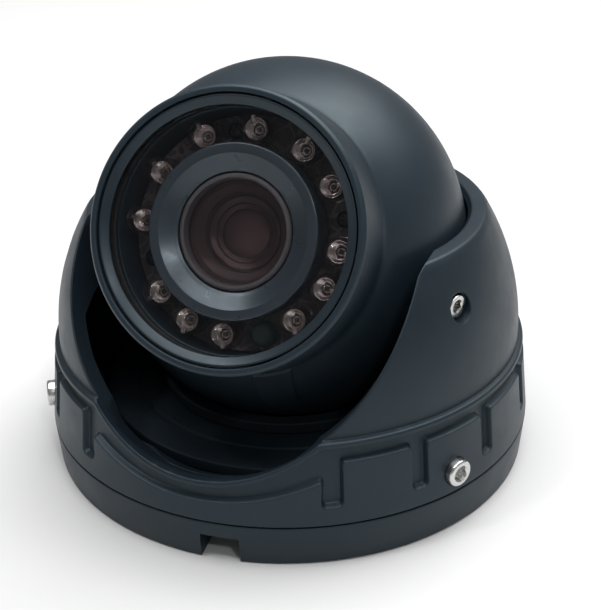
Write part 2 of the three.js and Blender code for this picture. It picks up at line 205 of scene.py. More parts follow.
def boolean(ob, op, parts):
    cutters = []
    for k, vf in enumerate(parts):
        c = object_of(f"cutter{k}", vf)
        c.hide_render = True
        mod = ob.modifiers.new("b", "BOOLEAN")
        mod.operation, mod.object = op, c
        mod.solver = "MANIFOLD"
        cutters.append(c)
    bpy.context.view_layer.update()
    dg = bpy.context.evaluated_depsgraph_get()
    me = bpy.data.meshes.new_from_object(ob.evaluated_get(dg))
    ob.modifiers.clear()
    ob.data = me
    for c in cutters:
        bpy.data.objects.remove(c)
    return ob


def finish(ob, mat, body, replaces, sharp=38):
    me = ob.data
    me.materials.clear()
    for m in mat if isinstance(mat, (list, tuple)) else [mat]:
        me.materials.append(m)
    me.shade_smooth()
    me.set_sharp_from_angle(angle=math.radians(sharp))
    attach(ob, body)
    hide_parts(*replaces)
    return ob


def piece(name, vf, mat, body, replaces=None, matrix=None, sharp=38):
    ob = object_of(name, vf, matrix)
    return finish(ob, mat, body, replaces or [name], sharp)


def merged(parts):
    vs, fs, n = [], [], 0
    for v, f in parts:
        if signed_volume(v, f) < 0:
            f = [q[::-1] for q in f]
        vs.append(np.asarray(v))
        fs += [[k + n for k in q] for q in f]
        n += len(v)
    return np.vstack(vs), fs


# ------------------------------------------------------------------ materials
class Nodes:
    def __init__(self, name):
        self.mat = bpy.data.materials.new(name)
        self.mat.use_nodes = True
        self.t = self.mat.node_tree
        self.t.nodes.clear()
        self.out = self.t.nodes.new("ShaderNodeOutputMaterial")
        self.coord = self.t.nodes.new("ShaderNodeTexCoord").outputs["Object"]

    def put(self, socket, value):
        if isinstance(value, bpy.types.NodeSocket):
            self.t.links.new(value, socket)
        elif value is not None:
            socket.default_value = value

    def math(self, op, a, b=None, clamp=False):
        n = self.t.nodes.new("ShaderNodeMath")
        n.operation, n.use_clamp = op, clamp
        self.put(n.inputs[0], a)
        if b is not None:
            self.put(n.inputs[1], b)
        return n.outputs[0]

    def noise(self, scale, detail=3.0, rough=0.55, stretch=None, distortion=0.0):
        n = self.t.nodes.new("ShaderNodeTexNoise")
        n.inputs["Scale"].default_value = scale
        n.inputs["Detail"].default_value = detail
        n.inputs["Roughness"].default_value = rough
        n.inputs["Distortion"].default_value = distortion
        src = self.coord
        if stretch is not None:
            m = self.t.nodes.new("ShaderNodeMapping")
            m.inputs["Scale"].default_value = stretch
            self.t.links.new(src, m.inputs["Vector"])
            src = m.outputs[0]
        self.t.links.new(src, n.inputs["Vector"])
        return n.outputs["Fac"]

    def ramp(self, fac, stops):
        n = self.t.nodes.new("ShaderNodeValToRGB")
        e = n.color_ramp.elements
        while len(e) < len(stops):
            e.new(0.5)
        for k, (pos, col) in enumerate(stops):
            e[k].position = pos
            e[k].color = (*col, 1) if len(col) == 3 else col
        self.t.links.new(fac, n.inputs[0])
        return n.outputs[0]

    def span(self, fac, lo, hi, a=0.0, b=1.0):
        n = self.t.nodes.new("ShaderNodeMapRange")
        n.inputs["From Min"].default_value, n.inputs["From Max"].default_value = a, b
        n.inputs["To Min"].default_value, n.inputs["To Max"].default_value = lo, hi
        self.t.links.new(fac, n.inputs["Value"])
        return n.outputs[0]

    def mix(self, fac, a, b):
        n = self.t.nodes.new("ShaderNodeMix")
        n.data_type = "RGBA"
        self.put(n.inputs["Factor"], fac)
        self.put(n.inputs[6], (*a, 1) if isinstance(a, tuple) else a)
        self.put(n.inputs[7], (*b, 1) if isinstance(b, tuple) else b)
        return n.outputs[2]

    def bevel(self, radius):
        n = self.t.nodes.new("ShaderNodeBevel")
        n.samples = 6
        n.inputs["Radius"].default_value = radius
        return n.outputs[0]

    def edge(self, bevelled, lo=0.02, hi=0.18):
        """1 where the rounded normal leaves the flat one, which is along edges."""
        g = self.t.nodes.new("ShaderNodeNewGeometry")
        d = self.t.nodes.new("ShaderNodeVectorMath")
        d.operation = "DOT_PRODUCT"
        self.t.links.new(bevelled, d.inputs[0])
        self.t.links.new(g.outputs["Normal"], d.inputs[1])
        away = self.math("SUBTRACT", 1.0, d.outputs["Value"])
        return self.span(away, 0.0, 1.0, lo, hi)

    def bump(self, height, strength, distance, normal=None):
        n = self.t.nodes.new("ShaderNodeBump")
        n.inputs["Strength"].default_value = strength
        n.inputs["Distance"].default_value = distance
        self.t.links.new(height, n.inputs["Height"])
        if normal is not None:
            self.t.links.new(normal, n.inputs["Normal"])
        return n.outputs[0]

    def principled(self, **kw):
        n = self.t.nodes.new("ShaderNodeBsdfPrincipled")
        for k, v in kw.items():
            self.put(n.inputs[k.replace("_", " ")], (*v, 1) if isinstance(v, tuple) else v)
        self.t.links.new(n.outputs[0], self.out.inputs["Surface"])
        return n


def paint(name, dark, light, worn_lit_edge, rough=(0.40, 0.50), bump=0.12, bevel=0.00025, wear_and_highlight=0.5, coat=0.0, spec=0.5, tint=(0.74, 0.92, 1.0)):
    """Satin powder coat: a fine grain, slow unevenness in tone and gloss, and lighter edges, which are partly thin worn
    paint and partly a painted highlight along the edges.
    """
    s = Nodes(name)
    slow, fine = s.noise(38, 4, 0.6), s.noise(2600, 2, 0.5)
    tone = s.math("ADD", s.math("MULTIPLY", slow, 0.75), s.math("MULTIPLY", fine, 0.25))
    base = s.ramp(tone, [(0.32, dark), (0.68, light)])
    b = s.bevel(bevel)
    # edges lightened towards the third colour: partly worn paint, partly a painted highlight along the edges
    edge = s.math("MULTIPLY", s.edge(b), s.span(s.noise(420, 3, 0.6), 0.0, wear_and_highlight, 0.42, 0.66), clamp=True)
    base = s.mix(edge, base, worn_lit_edge)
    r = s.span(s.noise(160, 5, 0.62), rough[0], rough[1], 0.3, 0.7)
    grain = s.noise(1700, 3, 0.55)
    normal = s.bump(grain, bump, 0.00006, b)
    s.principled(Base_Color=base, Roughness=r, Normal=normal, IOR=1.5, Coat_Weight=coat, Coat_Roughness=0.25, Specular_IOR_Level=spec, Specular_Tint=tint)
    return s.mat


def plastic(name, dark, light, rough=(0.45, 0.6), bump=0.1, scale=1500, bevel=0.00012, metallic=0.0, spec=0.5, tint=(1.0, 1.0, 1.0)):
    s = Nodes(name)
    base = s.ramp(s.noise(140, 4, 0.6), [(0.3, dark), (0.7, light)])
    b = s.bevel(bevel)
    # painted highlight: edges lightened towards three times the light tone
    base = s.mix(s.math("MULTIPLY", s.edge(b), 0.25), base, tuple(min(1, 3.0 * c + 0.01) for c in light))
    r = s.span(s.noise(500, 4, 0.6), rough[0], rough[1], 0.3, 0.7)
    s.principled(Base_Color=base, Roughness=r, Metallic=metallic, Normal=s.bump(s.noise(scale, 3, 0.6), bump, 0.00005, b), Specular_IOR_Level=spec, Specular_Tint=tint)
    return s.mat


def metal(name, dark, light, rough=(0.2, 0.34), stretch=None, bump=0.08, bevel=0.00012):
    s = Nodes(name)
    brushed = s.noise(900, 4, 0.6, stretch)
    base = s.ramp(s.math("ADD", s.math("MULTIPLY", brushed, 0.6), s.math("MULTIPLY", s.noise(260, 3, 0.6), 0.4)), [(0.3, dark), (0.7, light)])
    r = s.span(s.noise(700, 4, 0.6), rough[0], rough[1], 0.3, 0.7)
    s.principled(Base_Color=base, Roughness=r, Metallic=1.0, Normal=s.bump(brushed, bump, 0.00003, s.bevel(bevel)))
    return s.mat


def rubber(name):
    s = Nodes(name)
    base = s.ramp(s.noise(300, 4, 0.6), [(0.3, (0.008, 0.008, 0.009)), (0.7, (0.018, 0.018, 0.019))])
    r = s.span(s.noise(900, 3, 0.6), 0.62, 0.85, 0.3, 0.7)
    s.principled(Base_Color=base, Roughness=r, Normal=s.bump(s.noise(2200, 3, 0.6), 0.25, 0.00006))
    return s.mat


def clear(name, tint, tint2, gloss=(1.0, 1.0, 1.0), rough=(0.02, 0.05), ior=1.5, haze=0.0, haze_color=(0.05, 0.05, 0.055), scale=90):
    """Glass that isn't bent: tinted see-through with a mirror share that grows towards grazing, and a faint film."""
    s = Nodes(name)
    t = s.t.nodes.new("ShaderNodeBsdfTransparent")
    s.put(t.inputs["Color"], s.ramp(s.noise(scale, 3, 0.5), [(0.3, tint), (0.7, tint2)]))
    g = s.t.nodes.new("ShaderNodeBsdfGlossy")
    g.inputs["Color"].default_value = (*gloss, 1)
    s.put(g.inputs["Roughness"], s.span(s.noise(60, 4, 0.6), rough[0], rough[1], 0.3, 0.7))
    # mirror share by angle, the same from both sides: light that comes in steeply still gets through the far face
    w = s.t.nodes.new("ShaderNodeLayerWeight")
    w.inputs["Blend"].default_value = 0.5
    f0 = ((ior - 1) / (ior + 1)) ** 2
    share = s.math("ADD", s.math("MULTIPLY", s.math("POWER", w.outputs["Facing"], 5.0), 1 - f0), f0)
    m = s.t.nodes.new("ShaderNodeMixShader")
    s.put(m.inputs[0], share)
    s.t.links.new(t.outputs[0], m.inputs[1])
    s.t.links.new(g.outputs[0], m.inputs[2])
    last = m
    if haze:
        d = s.t.nodes.new("ShaderNodeBsdfDiffuse")
        d.inputs["Color"].default_value = (*haze_color, 1)
        h = s.t.nodes.new("ShaderNodeMixShader")
        s.put(h.inputs[0], s.span(s.noise(220, 4, 0.65), haze * 0.7, haze * 1.3, 0.3, 0.7))
        s.t.links.new(m.outputs[0], h.inputs[1])
        s.t.links.new(d.outputs[0], h.inputs[2])
        last = h
    s.t.links.new(last.outputs[0], s.out.inputs["Surface"])
    return s.mat


def board(name, dark, light):
    """Solder mask over copper: tracks show as slightly paler, raised lines."""
    s = Nodes(name)
    v = s.t.nodes.new("ShaderNodeTexVoronoi")
    v.feature, v.distance = "DISTANCE_TO_EDGE", "MANHATTAN"
    v.inputs["Scale"].default_value = 330
    s.t.links.new(s.coord, v.inputs["Vector"])
    track = s.span(v.outputs["Distance"], 1.0, 0.0, 0.04, 0.07)
    base = s.mix(track, s.ramp(s.noise(400, 3, 0.5), [(0.3, dark), (0.7, light)]), tuple(1.7 * c for c in light))
    r = s.span(s.noise(500, 3, 0.5), 0.38, 0.52, 0.3, 0.7)
    s.principled(Base_Color=base, Roughness=r, Normal=s.bump(track, 0.4, 0.00004))
    return s.mat


# the third colour of each paint lightens its edges: partly worn paint, partly a painted highlight
PAINT_D, PAINT_L, PAINT_WORN_LIT_EDGE = (0.0082, 0.0140, 0.0202), (0.0112, 0.0178, 0.0250), (0.040, 0.052, 0.064)
cover_paint = paint("cover_paint", PAINT_D, PAINT_L, PAINT_WORN_LIT_EDGE, spec=0.4)
base_paint = paint("base_paint", (0.0074, 0.0126, 0.0184), (0.0100, 0.0160, 0.0226), PAINT_WORN_LIT_EDGE, spec=0.4)
ball_paint = paint("ball_paint", (0.0105, 0.0178, 0.0245), (0.0135, 0.0215, 0.0290), PAINT_WORN_LIT_EDGE, rough=(0.38, 0.47), bump=0.08, wear_and_highlight=0.35, spec=0.4)
ring_paint = paint("ring_paint", (0.007, 0.011, 0.015), (0.010, 0.015, 0.020), (0.02, 0.028, 0.034), rough=(0.6, 0.72), spec=0.2)
stainless = metal("stainless", (0.46, 0.46, 0.46), (0.72, 0.72, 0.70), stretch=(1, 1, 6))
black_oxide = metal("black_oxide", (0.030, 0.028, 0.028), (0.060, 0.056, 0.055), rough=(0.34, 0.46))
black_rubber = rubber("black_rubber")
nylon = plastic("nylon", (0.008, 0.012, 0.016), (0.011, 0.016, 0.021), rough=(0.6, 0.72), spec=0.2, tint=(0.75, 0.92, 1.0))
bezel_ring = plastic("bezel_ring", (0.010, 0.016, 0.022), (0.014, 0.021, 0.028), rough=(0.30, 0.40), bump=0.05, spec=0.42, tint=(0.78, 0.93, 1.0))
shroud_black = plastic("shroud_black", (0.016, 0.024, 0.031), (0.021, 0.030, 0.038), rough=(0.27, 0.35), bump=0.05, spec=0.95, tint=(0.82, 0.93, 1.0))
barrel_black = plastic("barrel_black", (0.066, 0.058, 0.062), (0.084, 0.074, 0.079), rough=(0.40, 0.52), bump=0.06, spec=0.4)
inner_metal = plastic("inner_metal", (0.060, 0.052, 0.054), (0.085, 0.074, 0.076), rough=(0.28, 0.38), metallic=0.5)
coated_inner = plastic("coated_inner", (0.170, 0.145, 0.152), (0.205, 0.175, 0.184), rough=(0.16, 0.24), bump=0.01, spec=0.6, tint=(0.95, 0.80, 0.85))
iris_black = plastic("iris_black", (0.010, 0.009, 0.010), (0.018, 0.016, 0.017), rough=(0.5, 0.62))
window = clear("window", (0.93, 0.935, 0.94), (0.96, 0.965, 0.97), gloss=(0.24, 0.27, 0.30), rough=(0.010, 0.025), haze=0.002)
coated = clear("coated", (0.80, 0.72, 0.72), (0.86, 0.79, 0.78), gloss=(0.46, 0.38, 0.40), rough=(0.02, 0.04), ior=1.6)
epoxy = clear("epoxy", (0.80, 0.74, 0.74), (0.88, 0.82, 0.81), rough=(0.02, 0.05), ior=1.55, haze=0.04, haze_color=(0.14, 0.10, 0.10), scale=400)
die_cup = metal("die_cup", (0.62, 0.57, 0.55), (0.90, 0.86, 0.84), rough=(0.16, 0.30))
die_face = plastic("die_face", (0.05, 0.035, 0.03), (0.12, 0.09, 0.07), rough=(0.2, 0.3))
sensor_clear = clear("sensor_clear", (0.45, 0.58, 0.56), (0.55, 0.66, 0.62), rough=(0.03, 0.08), ior=1.5, haze=0.3, haze_color=(0.05, 0.085, 0.09), scale=300)
board_black = board("board_black", (0.078, 0.062, 0.063), (0.104, 0.084, 0.084))
board_green = board("board_green", (0.010, 0.045, 0.018), (0.018, 0.075, 0.030))
holder_plastic = plastic("holder_plastic", (0.010, 0.011, 0.012), (0.016, 0.017, 0.018), rough=(0.5, 0.65))
brass = metal("brass", (0.46, 0.30, 0.10), (0.68, 0.47, 0.18), stretch=(1, 1, 5))
sensor_die = plastic("sensor_die", (0.02, 0.02, 0.035), (0.05, 0.045, 0.07), rough=(0.1, 0.2), bump=0.02)


# ------------------------------------------------------------------ cover housing
def smooth(t):
    t = np.clip(t, 0, 1)
    return t * t * (3 - 2 * t)


def rounded_out(qx, qy, rc):
    """Distance outside the corner region x < 0, y < 0, with a corner radius."""
    qx, qy = qx + rc, qy + rc
    return np.hypot(np.maximum(qx, 0), np.maximum(qy, 0)) + np.minimum(np.maximum(qx, qy), 0) - rc


def rounded_in(p, q, rc):
    """The smaller of two distances, with a rounded inside corner."""
    u, w = np.minimum(p, rc), np.minimum(q, rc)
    return np.where((p < rc) & (q < rc), rc - np.hypot(rc - u, rc - w), np.minimum(p, q))


def recess(a, z, r):
    """How far the band is sunk at azimuth a (degrees) and height z."""
    x = r * np.sin(np.radians(a))
    front = np.abs(a) < 90
    d = RECESS_Z1 - z
    dist = np.hypot(x, z - SLOT_Z)
    nx, nz = x / dist, (z - SLOT_Z) / dist
    grad = np.clip(np.sqrt((nx * np.cos(np.radians(a))) ** 2 + nz**2), 0.35, 1)
    bead = np.where(front, (dist - SLOT_R - 1.1) / grad, 99.0)
    d = np.minimum(d, bead)
    half = 45.5 * math.sin(math.radians(GAPS[0] - PAD_GAP / 2))
    arc = np.hypot(x, z - PAD_ARC_Z)
    slope = np.clip(np.hypot(x / arc * np.cos(np.radians(a)), (z - PAD_ARC_Z) / arc), 0.35, 1)
    pad = np.where(front, rounded_out((PAD_ARC_R - arc) / slope, (np.abs(x) - half) / np.cos(np.radians(np.clip(a, -89, 89))), 0.7), 99.0)
    d = np.minimum(d, pad)
    for i in range(len(GAPS) - 1):
        a0, a1 = GAPS[i] + PAD_GAP / 2, GAPS[i + 1] - PAD_GAP / 2
        if a1 < a0:
            a1 += 360
        mid, half_w = (a0 + a1) / 2, math.radians((a1 - a0) / 2) * 45.3
        da = (a - mid + 180) % 360 - 180
        u = np.abs(np.radians(da)) * 45.3 - half_w
        d = np.minimum(d, rounded_out(u, z - PAD_TOP, 0.7))
    d = rounded_in(z - RECESS_Z0, d, 0.9)
    return BAND_DEPTH * smooth((d + 0.26) / 0.56)


def outer_r(z):
    """Outside of the housing before anything is sunk: band, rounded ledge, bell."""
    z = np.asarray(z, float)
    top, rho = 23.25, 0.5
    t = np.clip(z - (top - rho), 0, rho)
    band = cone(z) - (rho - np.sqrt(np.maximum(0, rho * rho - t * t)))
    ledge = np.clip((z - top + 0.02) / 0.1, 0, 1)
    return np.where(z < top - 0.02, band, band * (1 - ledge) + sph(BELL_R, z - BELL_Z) * ledge)


def scoop():
    """Relief behind the lower slot edge: the wall falls away inwards, so only a narrow lip is left outside."""
    t = np.radians(np.linspace(226, 314, 61))
    k = 0.55 * smooth((np.sin(-t) - 0.76) / 0.12)
    v, rings = [], []
    for r in (50.0, 45.1, 44.5, 42.5, 40.0, 36.0):
        rho = SLOT_R - 0.2 + k * max(0.0, 44.9 - r)
        x, z = rho * np.cos(t), SLOT_Z + rho * np.sin(t)
        rings.append(np.arange(len(t)) + len(v))
        v += np.c_[x, -np.sqrt(r * r - x * x), z].tolist()
    n, f = len(t), []
    for a, b in zip(rings[:-1], rings[1:]):
        f += [[int(a[i]), int(a[(i + 1) % n]), int(b[(i + 1) % n]), int(b[i])] for i in range(n)]
    for ring, flip in ((rings[0], True), (rings[-1], False)):
        mid = np.array([v[i] for i in ring]).mean(0).tolist()
        v.append(mid)
        for i in range(n):
            tri = [int(ring[i]), int(ring[(i + 1) % n]), len(v) - 1]
            f.append(tri[::-1] if flip else tri)
    return np.array(v), f


def cover():
    cols = [np.arange(-180, 180, 1.5), np.arange(-68, 68.01, 0.42), np.arange(50, 67, 0.25), -np.arange(50, 67, 0.25)]
    offs = np.array([-0.8, -0.5, -0.36, -0.24, -0.12, 0, 0.12, 0.24, 0.36, 0.5, 0.8])
    for g in GAPS:
        cols += [g - PAD_GAP / 2 + offs, g + PAD_GAP / 2 + offs]
    a = np.sort((np.concatenate(cols) + 180) % 360 - 180)
    keep = [a[0]]
    for q in a[1:]:
        if q - keep[-1] > 0.09:
            keep.append(q)
    a = np.array(keep)
    m = len(a)
    rad = np.radians(a)

    # outer side: fixed rows, and rows that follow the slot and the front pad
    edges = [RECESS_Z0, PAD_TOP, RECESS_Z1]
    fixed = [8.3, 8.9, 9.6, 10.4, 10.9]
    for e in edges:
        fixed += [e + o for o in (-0.42, -0.3, -0.2, -0.1, 0.0, 0.1, 0.2, 0.3, 0.42)]
    fixed += list(np.arange(12.4, 19.2, 0.55)) + [20.6, 21.2]
    fixed += [22.6, 22.7, 22.8, 22.9, 23.0, 23.08, 23.16, 23.24, 23.32, 23.4, 23.55] + list(np.linspace(24.0, 47.3, 48))
    fixed = np.array(sorted(fixed))
    rows = [np.repeat(z, m) for z in fixed]
    top = 47.5
    follow = [(SLOT_R + d, SLOT_Z, True) for d in (-0.5, -0.12, 0.05, 0.2, 0.4, 0.7, 0.9, 1.0, 1.1, 1.2, 1.35)]
    follow += [(PAD_ARC_R + d, PAD_ARC_Z, False) for d in (-0.45, -0.3, -0.2, -0.1, 0.0, 0.1, 0.2, 0.3, 0.45)]
    for rr, zc, ends in follow:
        z = np.full(m, 15.0)
        for _ in range(25):      # the surface radius depends on the height
            r = outer_r(z)
            x = r * np.sin(np.minimum(np.abs(rad), math.pi / 2))
            z = zc - np.sqrt(np.maximum(0, rr * rr - x * x))
            z = np.clip(z, 11.0, top)
        if not ends:
            rows.append(z)
            continue
        on = (np.abs(a) < 64) & (np.abs(x) < rr) & (z < top)
        spare = np.interp(np.linspace(0, 1, 21)[len(rows) % 21], [0, 1], [24, 46])
        rows.append(np.where(on, z, spare))
    z = np.sort(np.array(rows), 0)
    z = np.maximum.accumulate(z + np.arange(len(z))[:, None] * 1e-5, 0)
    r = outer_r(z)
    sunk = recess(np.repeat(a[None], len(z), 0), z, r)
    sunk = np.where(z < 22.5, sunk, 0)
    # the outside edge of the slot is rounded
    x = r * np.sin(rad)
    d = np.hypot(x, z - SLOT_Z) - SLOT_R
    rho = 0.45
    fil = np.where((np.abs(a) < 90) & (d < rho), rho - np.sqrt(np.maximum(0, rho**2 - (rho - np.clip(d, 0.0, rho)) ** 2)), 0)
    r = r - sunk - np.minimum(fil, 0.4)

    shut = [(42.7, 8.0), (44.0, 8.0), (46.75, 8.0), (46.90, 8.05), (46.97, 8.15)]
    rim = rnd([(sph(BELL_R, 23.3), 47.3), (37.05, 48.2, 0.9), (34.3, 48.2, 0.45), (34.12, 47.3)], closed=False, n=7)[1:-1]
    inner = [(float(sph(SEAT_R, q - BALL_Z)), q) for q in (47.2, 46.2, 45, 43.5, 42, 40.3, 38.5, 36.4)]
    inner += [(37.5, 35.0), (40.2, 33.0), (40.7, 30.2), (41.1, 27.5), (41.25, 20), (41.25, 15.0), (42.7, 15.0), (42.7, 11)]
    head = np.array(shut)
    tail = np.array(rim + inner)
    R = np.vstack([np.repeat(head[:, :1], m, 1), r, np.repeat(tail[:, :1], m, 1)])
    Z = np.vstack([np.repeat(head[:, 1:], m, 1), z, np.repeat(tail[:, 1:], m, 1)])
    v = np.stack([R * np.sin(rad), -R * np.cos(rad), Z], -1).reshape(-1, 3)
    ob = object_of("cover_housing_shell", (v, grid_faces(len(R), m).tolist()))

    parts = []
    for q in PRESS_SCREWS:
        t = math.radians(q)
        px, py = PRESS_R * math.sin(t), -PRESS_R * math.cos(t)
        parts.append(rod(2.9, 12.6, 22.5, 32, px, py))
        parts.append(moved(block(-2, 2, -42.3, -PRESS_R, 16.1, 22.5), Matrix.Rotation(t, 4, "Z")))
    boolean(ob, "UNION", parts)
    cuts = []
    for q in PRESS_SCREWS:
        t = math.radians(q)
        cuts.append(rod(1.7, 11, 19.5, 24, PRESS_R * math.sin(t), -PRESS_R * math.cos(t)))
    out = [(SLOT_R * math.cos(math.radians(t)), SLOT_Z + SLOT_R * math.sin(math.radians(t))) for t in np.linspace(180, 360, 121)]
    out += [(SLOT_R + 1.0, 49.5), (SLOT_R + 1.0, 60), (-SLOT_R - 1.0, 60), (-SLOT_R - 1.0, 49.5)]
    cuts.append(moved(prism(out, 6, 60), Matrix.Rotation(math.pi / 2, 4, "X")))
    cuts.append(scoop())
    for q in COVER_SCREWS:
        cuts.append(moved(rod(1.8, 41, 48, 32), radial(q, COVER_SCREW_Z)))
        cuts.append(moved(rod(2.62, 45.95, 50, 48), radial(q, COVER_SCREW_Z)))
    for q in (LOCK_A, -LOCK_A):
        cuts.append(moved(rod(2.35, 32, 46, 40), radial(q, LOCK_Z)))
        cuts.append(moved(rod(2.6, 40.3, 46, 56), radial(q, LOCK_Z)))
    boolean(ob, "DIFFERENCE", cuts)
    return finish(ob, cover_paint, "housing", ["cover_housing"], 34)


cover()


# ------------------------------------------------------------------ base and seal
def base():
    prof = rnd([(8.0, 0.0, 0.3), (46.4, 0.0, 0.45), (47.0, 7.7, 0.22), (45.8, 7.7, 0.15), (45.8, 6.5, 0.15), (42.4, 6.5, 0.2),
                (42.4, 14.6, 0.3), (39.4, 14.6, 0.3), (39.4, 2.8, 0.8), (8.0, 2.8, 0.3)], n=4)
    ob = object_of("base_plate_body", lathe(prof, 240))
    parts = [moved(block(-3.5, 3.5, -40.5, -36.8, 2.3, 14.0), Matrix.Rotation(math.radians(q), 4, "Z")) for q in COVER_SCREWS]
    boolean(ob, "UNION", parts)
    cuts = []
    for q in (90, 210, 330):
        t = math.radians(q)
        cuts.append(moved(lathe(rnd([(0, -1), (2.7, -1), (2.7, 0.05), (2.3, 0.4), (2.3, 3.8), (0, 3.8)], closed=False), 40), Matrix.Translation((30 * math.sin(t), -30 * math.cos(t), 0))))
    for q in COVER_SCREWS:
        cuts.append(moved(rod(1.8, 34, 44, 32), radial(q, COVER_SCREW_Z)))
    w, h, c = 3.5, 5.0, 0.35
    arch = [(-w, -1), (w, -1)] + [(w - c + c * math.cos(t), h - c + c * math.sin(t)) for t in np.linspace(0, math.pi / 2, 6)]
    arch += [(-w + c - c * math.sin(t), h - c + c * math.cos(t)) for t in np.linspace(0, math.pi / 2, 6)]
    notch = moved(prism(arch, 37.5, 50), Matrix.Rotation(math.radians(5.9), 4, "Z") @ Matrix.Rotation(math.pi / 2, 4, "X"))
    cuts.append(notch)
    cuts.append(scoop())
    boolean(ob, "DIFFERENCE", cuts)
    finish(ob, base_paint, "housing", ["base_plate"], 34)


base()
piece("base_seal_ring", lathe(rnd([(42.9, 6.8, 0.2), (45.4, 6.8, 0.2), (45.4, 7.7, 0.3), (42.9, 7.7, 0.3)]), 180), black_rubber, "housing", ["base_seal"])


# ------------------------------------------------------------------ screws in the housing
def socket_screw(name, prof, across, z0, z1, matrix, body, replaces, seg=56, turn=0.0):
    ob = object_of(name, lathe(rnd(prof, closed=False, n=4), seg), matrix)
    spin = Matrix.Rotation(math.radians(turn), 4, "Z")
    cut = [moved(hexagon(across, z0, z1 + 2), matrix @ spin),
           moved(lathe([(0, z1 - across * 0.62), (across * 0.66, z1 + 0.06), (across * 0.66, z1 + 2), (0, z1 + 2)], 32), matrix)]
    boolean(ob, "DIFFERENCE", cut)
    return finish(ob, stainless, body, replaces, 30)


def thread(r, z0, z1, pitch=0.5, depth=0.2):
    """Section points of a shank with rings standing in for its thread."""
    pts, z = [], z0
    while z + pitch <= z1:
        pts += [(r - depth, z + pitch * 0.1), (r, z + pitch * 0.45), (r, z + pitch * 0.6), (r - depth, z + pitch * 0.95)]
        z += pitch
    return pts


for k, q in enumerate(COVER_SCREWS):
    prof = [(0, 37.6), (1.0, 37.6)] + thread(1.4, 37.8, 43.8) + [(1.3, 46.0), (2.5, 46.0, 0.1), (2.5, 47.9, 0.42), (0, 47.9)]
    socket_screw(f"cover_screw_{k + 1}_steel", prof, 2.5, 46.6, 47.9, radial(q, COVER_SCREW_Z), "housing", [f"cover_screw_{k + 1}"], turn=12 + 25 * k)
for name, q, body in (("right", LOCK_A, "right_lock"), ("left", -LOCK_A, "left_lock")):
    prof = [(0, 34.25), (1.0, 34.25, 0.2)] + thread(2.0, 34.7, 39.9, depth=0.25) + [(2.0, 40.2), (2.0, 40.7, 0.16), (0, 40.7)]
    socket_screw(f"lock_screw_{name}_steel", prof, 2.0, 38.8, 40.7, radial(q, LOCK_Z), body, [f"lock_screw_{name}"], turn=8)

# ------------------------------------------------------------------ press ring, friction ring
ob = object_of("press_ring_body", lathe(rnd([(19.9, 9.9, 0.35), (36.0, 9.9, 0.35), (36.0, 12.2, 0.35), (30.2, 12.2, 0.2), (30.0, 11.9, 0.1), (29.2, 11.9, 0.1), (29.0, 12.2, 0.2), (19.9, 12.2, 0.35)]), 180))
boolean(ob, "DIFFERENCE", [rod(1.7, 9, 13, 24, PRESS_R * math.sin(math.radians(q)), -PRESS_R * math.cos(math.radians(q))) for q in PRESS_SCREWS])
finish(ob, ring_paint, "housing", ["press_ring"])
fr = [(float(sph(BALL_R + 0.35, q - BALL_Z)), q) for q in np.linspace(12.5, 14.6, 8)] + [(24.8, 14.6), (25.0, 14.4), (25.0, 12.7), (24.8, 12.5)]
piece("friction_ring_nylon", lathe(fr, 128), nylon, "pan_ring", ["friction_ring"])


# ------------------------------------------------------------------ ball
def ball_shell():
    """Front shell with its bezel. A round-ended tab stands slightly proud under the bezel."""
    prof = [(float(sph(BALL_R, q)), q) for q in np.concatenate([np.linspace(-15, 8, 24), np.linspace(9, 23.3, 60)])]
    for t in np.linspace(0.12, 1, 8):        # small concave root where the bezel leaves the ball
        prof.append((24.62 * (1 - t) ** 2 + 2 * 23.88 * t * (1 - t) + 23.87 * t * t, 23.3 * (1 - t) ** 2 + 2 * 24.08 * t * (1 - t) + 24.7 * t * t))
    prof += rnd([(23.86, 25.5), (23.685, 36.0, 0.5), (23.2, 36.5, 0.25), (22.4, 36.5, 0.12), (22.4, 35.0)], closed=False, n=4)
    prof += [(22.4, 33), (22.4, 31.3), (22.3, 31.2), (20.6, 31.2), (20.5, 31.1), (20.5, 27)]
    prof += [(float(sph(31, q)), q) for q in np.linspace(float(sph(31, 20.5)), -15, 24)]
    ang = np.concatenate([np.arange(0, 148, 2.0), np.arange(148, 184, 0.42), np.arange(184, 360, 2.0)])
    v, f = lathe(prof, angles=ang)
    # tab
    x, y = v[:, 0], v[:, 1]
    r = np.linalg.norm(v, axis=1)
    on = (v[:, 2] > 5) & (np.hypot(x, y) < 33.5) & (np.abs(r - BALL_R) < 0.02)
    d = np.hypot(x - 6.9, np.where(y > -27.4, 0, y + 27.4)) - 3.35
    up = 0.28 * smooth((0.16 - d) / 0.32)
    up = np.where(on & (y < -20), up, 0)
    v = v * (1 + up / np.maximum(r, 1))[:, None]
    ob = object_of("ball_front_body", (v, f), BALL)
    parts, cuts = [], []
    for q in (90, 210, 330):
        px, py = 24.6 * math.cos(math.radians(q)), 24.6 * math.sin(math.radians(q))
        parts.append(moved(rod(3.3, -15, -7.5, 32, px, py), BALL))
        cuts.append(moved(rod(1.7, -16, -9, 24, px, py), BALL))
    boolean(ob, "UNION", parts)
    boolean(ob, "DIFFERENCE", cuts)
    return finish(ob, ball_paint, "ball", ["ball_front_shell"], 34)


ball_shell()


